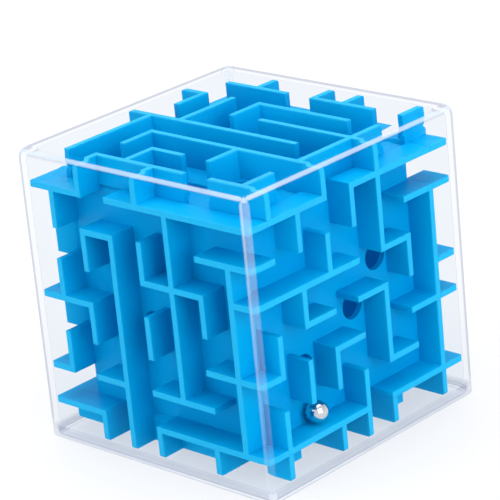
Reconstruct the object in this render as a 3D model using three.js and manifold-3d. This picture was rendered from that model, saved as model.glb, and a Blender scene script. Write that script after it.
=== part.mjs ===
// 3D maze ball puzzle: a blue maze moulded on the six sides of a hollow cube, shut in a clear case
// with one steel ball. Millimetres, +Z up. The origin is the centre of the bottom of the case.
// -Y is the front and +X the right side.
import * as THREE from "three";
import { RoundedBoxGeometry } from "three/addons/geometries/RoundedBoxGeometry.js";
import { mergeVertices } from "three/addons/utils/BufferGeometryUtils.js";
import Module from "manifold-3d";

const wasm = await Module();
wasm.setup();

// Driving dimensions
const CASE_SIZE = 80;
const CASE_WALL = 2;
const CASE_RADIUS = 3;
const CASE_CORNER_STEPS = 6;
const BASE_THICKNESS = 2;
const BASE_LAND = 0.8; // how far the base cover reaches under the wall of the hood
const GAP = 0.3; // clearance between neighbouring pieces
const GRID_PITCH = 10;
const LAST_LINE = 6; // grid lines 0 to 6 cross each side of the maze
const WALL = 1.6;
const FLOOR_FACE = 30.15; // from the middle of the cube to the floor of a channel
const FLOOR_THICKNESS = 1.6;
const WALL_ROOT = 0.5; // how far a wall reaches into its floor before the two are joined
const HOLE_RADIUS = 3.75;
const POST_PLACE = 24; // posts and sockets stand at plus and minus this, inside the hollow cube
const POST_RADIUS = 2;
const POST_LENGTH = 34;
const SOCKET_RADIUS = 3.8;
const SOCKET_LENGTH = 28;
const SOCKET_DEPTH = 7;
const ROUND_STEPS = 24;
const BALL_RADIUS = 3;

// Worked out from them
const HALF_CASE = CASE_SIZE / 2;
const CAVITY = HALF_CASE - CASE_WALL;
const CAVITY_RADIUS = CASE_RADIUS - CASE_WALL;
const EDGE = CAVITY - GAP; // half the size of the maze, at the tips of its walls
const EDGE_RADIUS = CAVITY_RADIUS - GAP;
const OUTER_LINE = (LAST_LINE / 2) * GRID_PITCH;
const SEAM = OUTER_LINE + WALL / 2; // the outer face of the walls on lines 0 and 6
const MITRE = GAP / Math.SQRT2;

// The maze. Each side is drawn looking at it from outside: "across" holds the walls on the level
// grid lines and "up" the walls on the upright ones, line 0 first. A run is two characters, the line
// it starts at and the line it ends at, and "-" and "+" are the two edges of the maze. "holes" are
// cells, counted from the corner where both lines are 0. A hole leads into the hollow cube.
const SIDES = {
  front: {
    across: ["-1 3+", "-0 12 35", "5+", "-1", "35 6+", "12 5+", "-1 2+"],
    up: ["12 34 56", "-0 23 45 6+", "-5", "-0 23 45 6+", "16", "-0 34", "05"],
    holes: [[2, 2]],
  },
  right: {
    across: ["-3 4+", "45", "-0 23 5+", "12 34 6+", "-3 45", "-0 5+", "-2 3+"],
    up: ["-1 23 6+", "12 34 56", "-0 12 45 6+", "-1 56", "-0 13 4+", "34", "-5"],
    holes: [[4, 3], [3, 2], [1, 1]],
  },
  back: {
    across: ["-2 4+", "13 46", "-0 25", "-1 4+", "13 5+", "-0 24", "-2 3+"],
    up: ["12 6+", "-1 34", "23 6+", "01 45 6+", "-0 23", "12 35 6+", "01 45"],
    holes: [[3, 3], [1, 1]],
  },
  left: {
    across: ["-3 5+", "24 6+", "13", "-0 4+", "-1 24", "12 35", "-2 4+"],
    up: ["01 34 56", "12 35 6+", "-1 45", "23 5+", "-0 34 56", "12", "-0 23 45"],
    holes: [[1, 2], [4, 4]],
  },
  top: {
    across: ["14 5+", "23", "1+", "-5", "3+", "-0 25", "02 35"],
    up: ["03 45", "-0 12 35 6+", "01 45", "-0 6+", "12 6+", "", "01 25 6+"],
    holes: [[4, 1]],
  },
  bottom: {
    across: ["02 5+", "13", "-0 4+", "13 5+", "-1 4+", "23", "-1 25 6+"],
    up: ["01 34", "23 5+", "-1 45 6+", "12 6+", "23 45", "-0 12 5+", "12 56"],
    holes: [[3, 4]],
  },
};

// A closed three.js geometry as a manifold-3d solid, moved to x, y, z
function solid(geometry, x = 0, y = 0, z = 0) {
  const bare = new THREE.BufferGeometry();
  bare.setAttribute("position", geometry.getAttribute("position").clone());
  bare.setIndex(geometry.getIndex());
  const merged = mergeVertices(bare.translate(x, y, z), 1e-4);
  return new wasm.Manifold(new wasm.Mesh({
    numProp: 3,
    vertProperties: new Float32Array(merged.getAttribute("position").array),
    triVerts: new Uint32Array(merged.getIndex().array),
  }));
}

// A mesh of a manifold-3d solid, with a material of its own
function piece(name, shape, material) {
  const mesh = shape.getMesh();
  const geometry = new THREE.BufferGeometry();
  geometry.setAttribute("position", new THREE.BufferAttribute(mesh.vertProperties, mesh.numProp));
  geometry.setIndex(new THREE.BufferAttribute(mesh.triVerts, 1));
  const result = new THREE.Mesh(geometry, material.clone());
  result.name = name;
  return result;
}

// A box given by its lowest and highest corners
function block(low, high) {
  const size = high.map((value, axis) => value - low[axis]);
  const middle = high.map((value, axis) => (value + low[axis]) / 2);
  return solid(new THREE.BoxGeometry(...size), ...middle);
}

// A round bar along Z, from the height low to the height high
function bar(radius, x, y, low, high) {
  const cylinder = new THREE.CylinderGeometry(radius, radius, high - low, ROUND_STEPS);
  return solid(cylinder.rotateX(Math.PI / 2), x, y, (low + high) / 2);
}

// A square plate with rounded corners, from the height low to the height high
function roundedPlate(half, radius, low, high) {
  const flat = half - radius;
  const outline = new THREE.Shape();
  outline.absarc(flat, flat, radius, 0, Math.PI / 2);
  outline.absarc(-flat, flat, radius, Math.PI / 2, Math.PI);
  outline.absarc(-flat, -flat, radius, Math.PI, Math.PI * 1.5);
  outline.absarc(flat, -flat, radius, Math.PI * 1.5, Math.PI * 2);
  const options = { depth: high - low, bevelEnabled: false, curveSegments: CASE_CORNER_STEPS };
  return solid(new THREE.ExtrudeGeometry(outline, options), 0, 0, low);
}

// The case, with the middle of the cube at the origin

function caseHood(material) {
  const bottom = -HALF_CASE;
  const outer = solid(
    new RoundedBoxGeometry(CASE_SIZE, CASE_SIZE, CASE_SIZE + CASE_RADIUS, CASE_CORNER_STEPS, CASE_RADIUS),
    0, 0, -CASE_RADIUS / 2,
  );
  const cavity = solid(
    new RoundedBoxGeometry(2 * CAVITY, 2 * CAVITY, 2 * CASE_SIZE, CASE_CORNER_STEPS, CAVITY_RADIUS),
    0, 0, CAVITY - CASE_SIZE,
  );
  const below = block([-CASE_SIZE, -CASE_SIZE, bottom - CASE_SIZE], [CASE_SIZE, CASE_SIZE, bottom]);
  const seat = roundedPlate(
    CAVITY + BASE_LAND,
    CAVITY_RADIUS + BASE_LAND,
    bottom - CASE_WALL,
    bottom + BASE_THICKNESS + GAP,
  );
  return piece("case_hood", outer.subtract(cavity).subtract(below).subtract(seat), material);
}

function caseBase(material) {
  const reach = BASE_LAND - GAP;
  const plate = roundedPlate(
    CAVITY + reach,
    CAVITY_RADIUS + reach,
    -HALF_CASE,
    -HALF_CASE + BASE_THICKNESS,
  );
  return piece("case_base", plate, material);
}

// The maze panels. A panel is made flat, facing +Z, with the middle of the cube at the origin.

// Where a grid mark lies. A run that ends on a line takes in half the wall that stands there.
function markPlace(mark, overrun) {
  if (mark === "-") return -EDGE;
  if (mark === "+") return EDGE;
  return Number(mark) * GRID_PITCH - OUTER_LINE + overrun;
}

function runsOf(lines) {
  return lines.flatMap((runs, line) => {
    const middle = line * GRID_PITCH - OUTER_LINE;
    return runs.split(" ").filter(Boolean).map((run) => ({
      from: markPlace(run[0], -WALL / 2),
      to: markPlace(run[1], WALL / 2),
      low: middle - WALL / 2,
      high: middle + WALL / 2,
    }));
  });
}

function mazeWalls(side) {
  const root = FLOOR_FACE - WALL_ROOT;
  const across = runsOf(side.across).map((run) => (
    block([run.from, run.low, root], [run.to, run.high, EDGE])
  ));
  const up = runsOf(side.up).map((run) => (
    block([run.low, run.from, root], [run.high, run.to, EDGE])
  ));
  return [...across, ...up];
}

// The room a panel may fill between two neighbours, as an outline across the panel: x is the distance
// from its middle and y the height. The edges of neighbouring floors meet in a mitre. A panel that
// owns the channels along the cube's edges reaches over its neighbours, and one that doesn't stops
// at the outer face of its last walls.
function roomOutline(ownsEdges) {
  const start = OUTER_LINE / 2;
  const half = ownsEdges
    ? [[start - MITRE, start], [SEAM + GAP - MITRE, SEAM + GAP], [EDGE, SEAM + GAP], [EDGE, EDGE]]
    : [[start - MITRE, start], [SEAM, SEAM + MITRE], [SEAM, EDGE]];
  const mirrored = half.map(([x, y]) => [-x, y]).reverse();
  return new THREE.Shape([...half, ...mirrored].map(([x, y]) => new THREE.Vector2(x, y)));
}

function room(ownsEdges) {
  const options = { depth: 2 * EDGE, bevelEnabled: false };
  const geometry = new THREE.ExtrudeGeometry(roomOutline(ownsEdges), options);
  return geometry.translate(0, 0, -EDGE).rotateX(Math.PI / 2);
}

function mazePanel(side, ownsSides, ownsEnds) {
  const floor = block([-EDGE, -EDGE, FLOOR_FACE - FLOOR_THICKNESS], [EDGE, EDGE, FLOOR_FACE]);
  const walled = mazeWalls(side).reduce((shape, wall) => shape.add(wall), floor);
  const pierced = side.holes.reduce((shape, [column, row]) => {
    const x = (column + 0.5) * GRID_PITCH - OUTER_LINE;
    const y = (row + 0.5) * GRID_PITCH - OUTER_LINE;
    return shape.subtract(bar(HOLE_RADIUS, x, y, FLOOR_FACE - 2 * FLOOR_THICKNESS, FLOOR_FACE + WALL));
  }, walled);
  const roomAcross = solid(room(ownsSides));
  const roomUp = solid(room(ownsEnds).rotateZ(Math.PI / 2));
  const envelope = solid(new RoundedBoxGeometry(2 * EDGE, 2 * EDGE, 2 * EDGE, 2, EDGE_RADIUS));
  return pierced.intersect(roomAcross).intersect(roomUp).intersect(envelope);
}

// The four places of the posts that join the front panel to the back one
function postPlaces() {
  return [-1, 1].flatMap((x) => [-1, 1].map((y) => [x * POST_PLACE, y * POST_PLACE]));
}

function withPosts(panel) {
  const top = FLOOR_FACE - FLOOR_THICKNESS / 2;
  const low = FLOOR_FACE - FLOOR_THICKNESS - POST_LENGTH;
  return postPlaces().reduce((shape, [x, y]) => shape.add(bar(POST_RADIUS, x, y, low, top)), panel);
}

function withSockets(panel) {
  const top = FLOOR_FACE - FLOOR_THICKNESS / 2;
  const low = FLOOR_FACE - FLOOR_THICKNESS - SOCKET_LENGTH;
  return postPlaces().reduce((shape, [x, y]) => {
    const bore = bar(POST_RADIUS + GAP, x, y, low - WALL, low + SOCKET_DEPTH);
    return shape.add(bar(SOCKET_RADIUS, x, y, low, top)).subtract(bore);
  }, panel);
}

// A panel stood upright and turned about Z to its side of the cube
function uprightPanel(name, shape, turn, material) {
  const panel = piece(name, shape, material);
  panel.rotation.x = Math.PI / 2;
  const side = new THREE.Group();
  side.rotation.z = turn;
  side.add(panel);
  return side;
}

function maze(material) {
  const group = new THREE.Group();
  const front = withPosts(mazePanel(SIDES.front, true, true));
  const back = withSockets(mazePanel(SIDES.back, true, true));
  group.add(uprightPanel("maze_panel_front", front, 0, material));
  group.add(uprightPanel("maze_panel_back", back, Math.PI, material));
  group.add(uprightPanel("maze_panel_right", mazePanel(SIDES.right, false, false), Math.PI / 2, material));
  group.add(uprightPanel("maze_panel_left", mazePanel(SIDES.left, false, false), -Math.PI / 2, material));
  group.add(piece("maze_panel_top", mazePanel(SIDES.top, true, false), material));
  const bottom = piece("maze_panel_bottom", mazePanel(SIDES.bottom, true, false), material);
  bottom.rotation.x = Math.PI;
  group.add(bottom);
  return group;
}

// The ball lies on the lowest ledge of the right side, midway between the walls on lines 0 and 3
function steelBall(material) {
  const ball = new THREE.Mesh(new THREE.SphereGeometry(BALL_RADIUS, 32, 20), material);
  const corridor = 3 * GRID_PITCH;
  const clear = GAP + BALL_RADIUS;
  ball.name = "steel_ball";
  ball.position.set(FLOOR_FACE + clear, corridor / 2 - OUTER_LINE, WALL / 2 - OUTER_LINE + clear);
  return ball;
}

const clearPlastic = new THREE.MeshStandardMaterial({
  color: 0xe9eef5,
  roughness: 0.05,
  metalness: 0,
  transparent: true,
  opacity: 0.25,
});
const bluePlastic = new THREE.MeshStandardMaterial({ color: 0x0a8ad8, roughness: 0.35, metalness: 0 });
const steel = new THREE.MeshStandardMaterial({ color: 0xd0d4d8, roughness: 0.08, metalness: 1 });

const cube = new THREE.Group();
cube.position.z = HALF_CASE;
cube.add(caseHood(clearPlastic));
cube.add(caseBase(clearPlastic));
cube.add(maze(bluePlastic));
cube.add(steelBall(steel));

const group = new THREE.Group();
group.add(cube);

export default group;
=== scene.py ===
"""3D maze ball puzzle: a blue maze on six sides of a cube, in a clear case, with one steel ball."""
import math

import bmesh
import bpy
from mathutils import Matrix, Vector


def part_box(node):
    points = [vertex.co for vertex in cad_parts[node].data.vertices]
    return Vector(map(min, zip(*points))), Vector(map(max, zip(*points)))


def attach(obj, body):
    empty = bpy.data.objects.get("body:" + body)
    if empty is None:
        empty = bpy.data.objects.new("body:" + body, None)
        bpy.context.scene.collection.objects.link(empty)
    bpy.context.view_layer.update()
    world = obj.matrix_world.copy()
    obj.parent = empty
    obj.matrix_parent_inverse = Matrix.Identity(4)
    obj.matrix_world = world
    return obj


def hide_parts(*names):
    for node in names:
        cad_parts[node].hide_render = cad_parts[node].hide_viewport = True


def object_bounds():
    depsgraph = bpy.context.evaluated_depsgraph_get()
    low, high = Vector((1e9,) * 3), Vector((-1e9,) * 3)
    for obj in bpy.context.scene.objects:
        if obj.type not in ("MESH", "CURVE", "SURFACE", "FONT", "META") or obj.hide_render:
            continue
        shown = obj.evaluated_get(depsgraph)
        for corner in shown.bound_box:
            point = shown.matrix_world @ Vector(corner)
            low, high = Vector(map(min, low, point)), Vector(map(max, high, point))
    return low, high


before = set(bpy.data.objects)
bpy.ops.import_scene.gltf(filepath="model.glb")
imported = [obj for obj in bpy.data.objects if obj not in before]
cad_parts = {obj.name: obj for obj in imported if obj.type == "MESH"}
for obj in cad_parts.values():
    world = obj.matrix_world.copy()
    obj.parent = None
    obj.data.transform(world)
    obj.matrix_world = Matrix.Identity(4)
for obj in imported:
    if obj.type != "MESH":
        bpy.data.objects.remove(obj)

CAD_LOW, CAD_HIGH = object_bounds()
CENTRE = (CAD_LOW + CAD_HIGH) / 2
MM = 0.001

# Places in the case, from the frame
HOOD_LOW, HOOD_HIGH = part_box("case_hood")
BASE_LOW, BASE_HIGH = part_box("case_base")
FRONT_LOW, FRONT_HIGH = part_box("maze_panel_front")
RIGHT_LOW, RIGHT_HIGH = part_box("maze_panel_right")
HALF_CASE = (HOOD_HIGH.x - HOOD_LOW.x) / 2
MAZE_EDGE = (FRONT_HIGH.x - FRONT_LOW.x) / 2
GAP = 0.3 * MM
CAVITY = MAZE_EDGE + GAP
CASE_WALL = HALF_CASE - CAVITY
CASE_RADIUS = 3 * MM
CAVITY_RADIUS = CASE_RADIUS - CASE_WALL
ARC_STEPS = 10  # steps in a quarter turn of the case's rounded edges
RIM_EASE = 0.25 * MM  # the moulded rims of the case aren't sharp
SHARP_ANGLE = math.radians(35)  # edges sharper than this aren't shaded smooth

# The case's clear plastic. The real kind has an index of about 1.49. It is kept far lower here, so
# that the walls seen through the case stay straight, and lower still in its rounded edges.
REAL_INDEX = 1.49
CASE_INDEX = 1.05
CASE_EDGE_INDEX = 1.02
CLEAR_TINT = (0.957, 0.967, 0.978)
EDGE_TINT = (0.66, 0.68, 0.75)
TOP_HIGHLIGHT_STRENGTH = 0.66  # how strong the painted highlight line round the top is
PAINTED_GLINT_GAIN = 1.9  # how much brighter the painted glint makes an upright on its front and back side

# The maze panels' seams
SEAM = (RIGHT_HIGH.y - RIGHT_LOW.y) / 2  # the outer face of a panel's last walls
MITRE = GAP / math.sqrt(2)
MITRE_SHARE = 0.7  # how much of a seam's closing a mitred face takes up
MITRE_REACH = 5 * MM  # only mitres this near the outer walls are closed
HALF_WALL = 0.8 * MM
SAME_PLACE = 0.01 * MM
PANEL_EASE = 0.13 * MM  # the moulded edges of the panels aren't sharp either
SEAM_LEFT = 0.02 * MM  # what stays open of a seam once its panels are pressed together
PANELS = {
    "maze_panel_front": Vector((0, -1, 0)),
    "maze_panel_right": Vector((1, 0, 0)),
    "maze_panel_back": Vector((0, 1, 0)),
    "maze_panel_left": Vector((-1, 0, 0)),
    "maze_panel_top": Vector((0, 0, 1)),
    "maze_panel_bottom": Vector((0, 0, -1)),
}


def camera():
    """Looks at the cube from a fixed azimuth, elevation and roll round its middle."""
    azimuth, elevation, roll = (math.radians(a) for a in (44.52, 20.31, -5.63))
    distance, aside, below = 681.2 * MM, 0.71 * MM, 7.97 * MM
    back = Vector((
        math.sin(azimuth) * math.cos(elevation),
        -math.cos(azimuth) * math.cos(elevation),
        math.sin(elevation),
    ))
    level = Vector((0, 0, 1)).cross(back).normalized()
    upright = back.cross(level)
    right = math.cos(roll) * level + math.sin(roll) * upright
    up = math.cos(roll) * upright - math.sin(roll) * level
    data = bpy.data.cameras.new("camera")
    data.sensor_width = 36
    data.lens = 189.7
    data.shift_x = -0.0040
    data.shift_y = -0.0188
    data.clip_start = 0.01
    data.clip_end = 20
    obj = bpy.data.objects.new("camera", data)
    turn = Matrix((right, up, back)).transposed().to_4x4()
    obj.matrix_world = Matrix.Translation(CENTRE + back * distance + right * aside + up * below) @ turn
    bpy.context.collection.objects.link(obj)
    bpy.context.scene.camera = obj


# Materials


class Nodes:
    """A short way to build a material's nodes."""

    def __init__(self, name):
        self.material = bpy.data.materials.new(name)
        self.material.use_nodes = True
        self.tree = self.material.node_tree
        self.shader = self.tree.nodes["Principled BSDF"]
        self.output = self.tree.nodes["Material Output"]

    def add(self, kind, inputs=None, **settings):
        node = self.tree.nodes.new(kind)
        for key, value in settings.items():
            setattr(node, key, value)
        for key, value in (inputs or {}).items():
            self.put(node, key, value)
        return node

    def put(self, node, key, value):
        if isinstance(value, bpy.types.NodeSocket):
            self.tree.links.new(value, node.inputs[key])
        else:
            node.inputs[key].default_value = value

    def set(self, **values):
        for key, value in values.items():
            self.put(self.shader, key.replace("_", " "), value)

    def point(self):
        return self.add("ShaderNodeTexCoord").outputs["Object"]

    def noise(self, scale, detail=2.0, roughness=0.5):
        inputs = {"Vector": self.point(), "Scale": scale, "Detail": detail, "Roughness": roughness}
        return self.add("ShaderNodeTexNoise", inputs).outputs["Fac"]

    def maths(self, operation, *values):
        node = self.add("ShaderNodeMath", operation=operation)
        for index, value in enumerate(values):
            self.put(node, index, value)
        return node.outputs[0]

    def spread(self, value, low, high):
        """value, from 0 to 1, brought to low to high"""
        node = self.add("ShaderNodeMapRange", {"Value": value, "To Min": low, "To Max": high})
        return node.outputs["Result"]

    def between(self, value, start, end):
        """0 where value is at start or before it, and 1 from end on"""
        node = self.add("ShaderNodeMapRange", {"Value": value, "From Min": start, "From Max": end})
        return node.outputs["Result"]

    def mix(self, factor, first, second):
        return self.add("ShaderNodeMixShader", {0: factor, 1: first, 2: second}).outputs[0]

    def ramp(self, value, stops):
        node = self.add("ShaderNodeValToRGB", {"Fac": value})
        elements = node.color_ramp.elements
        while len(elements) < len(stops):
            elements.new(1)
        for element, (place, colour) in zip(elements, stops):
            element.position = place
            element.color = (*colour, 1)
        return node.outputs["Color"]

    def bump(self, height, strength, distance):
        inputs = {"Height": height, "Strength": strength, "Distance": distance}
        return self.add("ShaderNodeBump", inputs).outputs["Normal"]


def maze_blue():
    """Moulded blue plastic. Painted shade makes it deepest at the floors of the channels, and painted
    light makes it palest at the wall tips.
    Behind the floors, in the hollow of the cube, a faint painted glow lights it."""
    n = Nodes("maze_blue")
    split = n.add("ShaderNodeSeparateXYZ", {"Vector": n.point()})
    x = n.maths("ABSOLUTE", split.outputs["X"])
    y = n.maths("ABSOLUTE", split.outputs["Y"])
    z = n.maths("ABSOLUTE", n.maths("SUBTRACT", split.outputs["Z"], CENTRE.z))
    outward = n.maths("MAXIMUM", n.maths("MAXIMUM", x, y), z)
    floor = MAZE_EDGE - 8 * MM
    height = n.between(outward, floor, MAZE_EDGE)
    painted_shade_and_mottle = n.maths("ADD", height, n.spread(n.noise(90, 3), -0.05, 0.05))
    # Painted shade and light: deepest at the channel floors, palest at the wall tips, with a random
    # mottle
    colour = n.ramp(painted_shade_and_mottle, [
        (0.0, (0.000, 0.285, 0.590)),
        (0.60, (0.000, 0.315, 0.615)),
        (0.94, (0.000, 0.330, 0.635)),
        (0.985, (0.012, 0.380, 0.670)),
    ])
    grain = n.bump(n.noise(900, 4, 0.6), 0.12, 0.05 * MM)
    n.set(
        Base_Color=colour,
        Roughness=n.spread(n.noise(250, 3), 0.42, 0.54),
        IOR=1.3,
        Specular_IOR_Level=0.3,
        Specular_Tint=(0.1, 0.6, 1.0, 1),
        # Painted light: a faint blue glow in the hollow of the cube, behind the channel floors
        Emission_Color=(0.0, 0.04, 0.11, 1),
        Emission_Strength=n.between(outward, floor - 0.2 * MM, floor - 1.2 * MM),
        Normal=grain,
    )
    return n.material


def near_edges(n, start, end):
    """How near a point is to the two sides of the case at X, Y and Z: 0 at start, and 1 from end on.
    Both are distances past the place where the flat of the case stops."""
    split = n.add("ShaderNodeSeparateXYZ", {"Vector": n.point()})
    inner = HALF_CASE - CASE_RADIUS
    places = [n.maths("SUBTRACT", split.outputs[axis], CENTRE[axis]) for axis in range(3)]
    return [n.between(n.maths("ABSOLUTE", place), inner + start, inner + end) for place in places]


def rounded_edge(n, start, end):
    """1 in the rounded edges of the case, and 0 on its flat sides"""
    x, y, z = near_edges(n, start, end)
    pairs = [n.maths("MULTIPLY", x, y), n.maths("MULTIPLY", y, z), n.maths("MULTIPLY", z, x)]
    return n.maths("MAXIMUM", n.maths("MAXIMUM", pairs[0], pairs[1]), pairs[2])


def painted_edge_highlight(n):
    """How strong the painted highlight of milky white is on the case: in a fine line round its top, and
    in a faint band down its uprights, which fades towards the bottom and is brighter on its front and
    back side, where a painted glint stands in for lamp reflections. It goes by place, and not by how
    thick the plastic is."""
    split = n.add("ShaderNodeSeparateXYZ", {"Vector": n.point()})
    height = n.between(split.outputs["Z"], HOOD_LOW.z, HOOD_HIGH.z)
    x, y, _ = near_edges(n, 0.9 * MM, 1.3 * MM)
    # The painted highlight band fades towards the bottom
    faint = n.ramp(height, [
        (0.0, (0.06, 0.06, 0.06)),
        (0.45, (0.15, 0.15, 0.15)),
        (0.90, (0.28, 0.28, 0.28)),
    ])
    aside = n.maths("ABSOLUTE", split.outputs["X"])
    ahead = n.maths("SUBTRACT", n.maths("ABSOLUTE", split.outputs["Y"]), aside)
    # Painted glint: the band is brighter on the front and back side of each upright
    painted_glint = n.spread(n.between(ahead, 0.6 * MM, 1.0 * MM), 1.0, PAINTED_GLINT_GAIN)
    band = n.maths("MULTIPLY", n.maths("MULTIPLY", n.maths("MULTIPLY", x, y), faint), painted_glint)
    x, y, z = near_edges(n, 1.5 * MM, 1.8 * MM)
    line = n.maths("MULTIPLY", n.maths("MAXIMUM", x, y), z)
    x, y, z = near_edges(n, 1.0 * MM, 1.4 * MM)
    corner = n.maths("MULTIPLY", n.maths("MULTIPLY", x, y), z)
    upper = n.between(height, 0.5, 0.6)
    outline = n.maths("MULTIPLY", n.maths("MAXIMUM", line, corner), upper)
    top = n.maths("MULTIPLY", outline, TOP_HIGHLIGHT_STRENGTH)
    return n.maths("MAXIMUM", band, top)


def clear_case():
    """Clear moulded plastic with very weak reflections, and a painted highlight of milky white along
    its edges. Light that it would trap goes straight on instead, and lamps shine through it."""
    n = Nodes("clear_case")
    rounded = rounded_edge(n, 0, 1.0 * MM)
    height = n.add("ShaderNodeSeparateXYZ", {"Vector": n.point()}).outputs["Z"]
    above = n.between(height, HOOD_LOW.z + 2 * MM, HOOD_LOW.z + 6 * MM)
    outlined = n.maths("MULTIPLY", rounded, n.spread(above, 0.5, 1.0))
    slant = n.add("ShaderNodeFresnel", {"IOR": REAL_INDEX}).outputs["Fac"]
    grazing = n.maths("MULTIPLY", slant, outlined)
    tint = n.ramp(grazing, [(0.0, CLEAR_TINT), (0.15, CLEAR_TINT), (0.8, EDGE_TINT)])
    wave = n.bump(n.noise(35, 1), 0.05, 0.2 * MM)
    ior = n.spread(rounded, CASE_INDEX, CASE_EDGE_INDEX)
    bent = n.add("ShaderNodeBsdfRefraction", {"Color": tint, "Roughness": 0, "IOR": ior, "Normal": wave})
    shine = n.add("ShaderNodeBsdfGlossy", {"Color": (1, 1, 1, 1), "Roughness": 0.03, "Normal": wave})
    fresnel = n.add("ShaderNodeFresnel", {"IOR": ior, "Normal": wave}).outputs["Fac"]
    gloss = n.maths("POWER", fresnel, 4)
    straight = n.add("ShaderNodeBsdfTransparent", {"Color": tint}).outputs[0]
    trapped = n.between(fresnel, 0.9, 0.99)
    plain = n.mix(trapped, n.mix(gloss, bent.outputs[0], shine.outputs[0]), straight)
    # The white of the painted edge highlight
    n.set(Base_Color=(0.84, 0.87, 0.94, 1), Roughness=n.spread(n.noise(60, 3), 0.25, 0.4))
    glow = n.add("ShaderNodeBsdfTranslucent", {"Color": (0.86, 0.89, 0.95, 1)}).outputs[0]
    painted_edge_white = n.mix(0.5, n.shader.outputs[0], glow)
    # Painted highlight: milky white mixed in along the case edges, by place
    body = n.mix(painted_edge_highlight(n), plain, painted_edge_white)
    ray = n.add("ShaderNodeLightPath").outputs["Is Shadow Ray"]
    through = n.add("ShaderNodeBsdfTransparent", {"Color": (*CLEAR_TINT, 1)}).outputs[0]
    n.tree.links.new(n.mix(ray, body, through), n.output.inputs["Surface"])
    return n.material


def ball_steel():
    """Polished bearing steel with a few faint rubbed streaks."""
    n = Nodes("ball_steel")
    streaks = n.noise(1400, 5, 0.7)
    n.set(
        Base_Color=n.ramp(n.noise(300, 3), [(0.3, (0.62, 0.63, 0.65)), (0.7, (0.74, 0.75, 0.76))]),
        Metallic=1.0,
        Roughness=n.spread(streaks, 0.05, 0.14),
        Normal=n.bump(streaks, 0.03, 0.02 * MM),
    )
    return n.material


def pale_floor():
    """A plain pale floor. It glows, so that it stays close to white."""
    n = Nodes("pale_floor")
    n.set(
        Base_Color=n.ramp(n.noise(4, 2), [(0.3, (0.25, 0.25, 0.26)), (0.7, (0.28, 0.28, 0.29))]),
        Roughness=0.7,
        Specular_IOR_Level=0.1,
        Emission_Color=(1, 1, 1, 1),
        Emission_Strength=0.66,
    )
    return n.material


# Shapes


def dress(obj, material, body, node):
    """Gives a piece its material, body and slot, and hides the CAD node it stands for"""
    obj.data.materials.clear()
    obj.data.materials.append(material)
    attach(obj, body)
    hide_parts(node)


def shown(name, bm, smooth_angle=None):
    """A new object of a bmesh, shaded smooth, but for edges sharper than smooth_angle"""
    mesh = bpy.data.meshes.new(name)
    bmesh.ops.recalc_face_normals(bm, faces=bm.faces)
    bm.to_mesh(mesh)
    bm.free()
    mesh.shade_smooth()
    if smooth_angle is not None:
        mesh.set_sharp_from_angle(angle=smooth_angle)
    obj = bpy.data.objects.new(name, mesh)
    bpy.context.collection.objects.link(obj)
    return obj


def rounded_square(bm, half, radius, z):
    """A ring of vertices round a square with rounded corners"""
    flat = half - radius
    ring = []
    for corner, (sx, sy) in enumerate(((1, 1), (-1, 1), (-1, -1), (1, -1))):
        for step in range(ARC_STEPS + 1):
            angle = (corner + step / ARC_STEPS) * math.pi / 2
            x = sx * flat + radius * math.cos(angle)
            y = sy * flat + radius * math.sin(angle)
            ring.append(bm.verts.new((CENTRE.x + x, CENTRE.y + y, z)))
    return ring


def join_rings(bm, low, high):
    for index in range(len(low)):
        after = (index + 1) % len(low)
        bm.faces.new((low[index], low[after], high[after], high[index]))


def loft(bm, sections):
    """Rings of (half, radius, z), joined one to the next"""
    rings = [rounded_square(bm, *section) for section in sections]
    for low, high in zip(rings, rings[1:]):
        join_rings(bm, low, high)
    return rings


def domed(half, radius, z):
    """Sections of a wall's top edge, rounded at radius, up to the flat top at z"""
    least = radius * 0.002
    for step in range(ARC_STEPS + 1):
        angle = step / ARC_STEPS * math.pi / 2
        reach = max(radius * math.cos(angle), least)
        yield half - radius + reach, reach, z - radius + radius * math.sin(angle)


def case_hood(material):
    """The five-sided hood: rounded outside and inside, with the stepped seat of the base cover."""
    bottom, top = HOOD_LOW.z, HOOD_HIGH.z
    land = (BASE_HIGH.x - BASE_LOW.x) / 2 + GAP
    land_radius = CAVITY_RADIUS + land - CAVITY
    step = BASE_HIGH.z + GAP
    bm = bmesh.new()
    outer = loft(bm, [
        (HALF_CASE - RIM_EASE, CASE_RADIUS - RIM_EASE, bottom),
        (HALF_CASE, CASE_RADIUS, bottom + RIM_EASE),
        *domed(HALF_CASE, CASE_RADIUS, top),
    ])
    inner = loft(bm, [
        (land + RIM_EASE, land_radius + RIM_EASE, bottom),
        (land, land_radius, bottom + RIM_EASE),
        (land, land_radius, step),
        (CAVITY, CAVITY_RADIUS, step),
        *domed(CAVITY, CAVITY_RADIUS, top - CASE_WALL),
    ])
    join_rings(bm, outer[0], inner[0])
    bm.faces.new(outer[-1])
    bm.faces.new(inner[-1])
    obj = shown("clear_hood", bm, SHARP_ANGLE)
    dress(obj, material, "cube", "case_hood")


def case_base(material):
    half = (BASE_HIGH.x - BASE_LOW.x) / 2
    radius = CAVITY_RADIUS + half - CAVITY
    bm = bmesh.new()
    rings = loft(bm, [
        (half - RIM_EASE, radius - RIM_EASE, BASE_LOW.z),
        (half, radius, BASE_LOW.z + RIM_EASE),
        (half, radius, BASE_HIGH.z - RIM_EASE),
        (half - RIM_EASE, radius - RIM_EASE, BASE_HIGH.z),
    ])
    bm.faces.new(rings[0])
    bm.faces.new(rings[-1])
    obj = shown("clear_base", bm, SHARP_ANGLE)
    dress(obj, material, "cube", "case_base")


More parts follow.
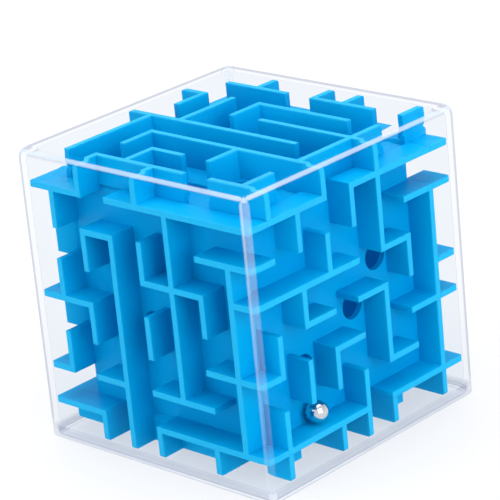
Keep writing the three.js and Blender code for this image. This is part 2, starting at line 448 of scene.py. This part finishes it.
def pressed_together(point, outward):
    """A point of a panel, moved to close its seams. outward is the way the panel faces."""
    place = point - CENTRE
    height = place.dot(outward)
    shut = GAP - SEAM_LEFT
    if abs(height - SEAM - GAP) < SAME_PLACE:
        return point - outward * shut
    for axis in range(3):
        if abs(outward[axis]) > 0.5:
            continue
        aside = abs(place[axis])
        if abs(height - aside - MITRE) > SAME_PLACE or aside < SEAM - MITRE_REACH:
            continue
        if height > SEAM - HALF_WALL:
            return point - outward * shut * MITRE_SHARE
        place[axis] += math.copysign(shut * MITRE_SHARE, place[axis])
    return CENTRE + place


def maze_panel(name, outward, material):
    """A CAD panel with its seams closed and its moulded edges eased"""
    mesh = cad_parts[name].data.copy()
    for vertex in mesh.vertices:
        vertex.co = pressed_together(vertex.co.copy(), outward)
    bm = bmesh.new()
    bm.from_mesh(mesh)
    bmesh.ops.remove_doubles(bm, verts=bm.verts, dist=0.001 * MM)
    bmesh.ops.dissolve_limit(bm, angle_limit=math.radians(1), verts=bm.verts, edges=bm.edges)
    obj = shown(name.replace("maze_panel", "blue_panel"), bm, SHARP_ANGLE)
    bevel = obj.modifiers.new("eased_edges", "BEVEL")
    bevel.width = PANEL_EASE
    bevel.segments = 2
    bevel.limit_method = "ANGLE"
    bevel.angle_limit = math.radians(50)
    dress(obj, material, "cube", name)


def ball(material):
    """A round ball of even faces, from a cube divided and blown up"""
    low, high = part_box("steel_ball")
    centre, radius = (low + high) / 2, (high.z - low.z) / 2
    bm = bmesh.new()
    bmesh.ops.create_cube(bm, size=2)
    bmesh.ops.subdivide_edges(bm, edges=bm.edges, cuts=23, use_grid_fill=True)
    for vertex in bm.verts:
        vertex.co = centre + vertex.co.normalized() * radius
    obj = shown("steel_ball_polished", bm)
    dress(obj, material, "ball", "steel_ball")


def floor(material):
    bm = bmesh.new()
    bmesh.ops.create_grid(bm, x_segments=1, y_segments=1, size=4)
    obj = shown("floor", bm)
    obj.location.z = CAD_LOW.z - 0.05 * MM
    obj.data.materials.append(material)


def lamp(name, place, size, power):
    """A square softbox that faces the middle of the cube"""
    data = bpy.data.lights.new(name, "AREA")
    data.size = size
    data.energy = power
    obj = bpy.data.objects.new(name, data)
    obj.location = CENTRE + Vector(place)
    obj.rotation_euler = (-Vector(place)).to_track_quat("-Z", "Y").to_euler()
    bpy.context.collection.objects.link(obj)


def lighting():
    world = bpy.data.worlds.new("studio")
    world.use_nodes = True
    background = world.node_tree.nodes["Background"]
    background.inputs["Color"].default_value = (1, 1, 1, 1)
    background.inputs["Strength"].default_value = 1.0
    bpy.context.scene.world = world
    lamp("key", (0.64, -0.15, 0.24), 0.5, 1.8)
    lamp("fill", (-0.2, -0.7, 0.12), 0.6, 1.2)
    lamp("overhead", (0, 0, 0.9), 0.9, 4.0)


camera()
blue = maze_blue()
clear = clear_case()
for panel, facing in PANELS.items():
    maze_panel(panel, facing, blue)
case_hood(clear)
case_base(clear)
ball(ball_steel())
floor(pale_floor())
lighting()
bpy.context.scene.view_settings.view_transform = "Standard"
# Light crosses many clear faces on its way through the case
bpy.context.scene.cycles.max_bounces = 24
bpy.context.scene.cycles.glossy_bounces = 12
bpy.context.scene.cycles.transmission_bounces = 24
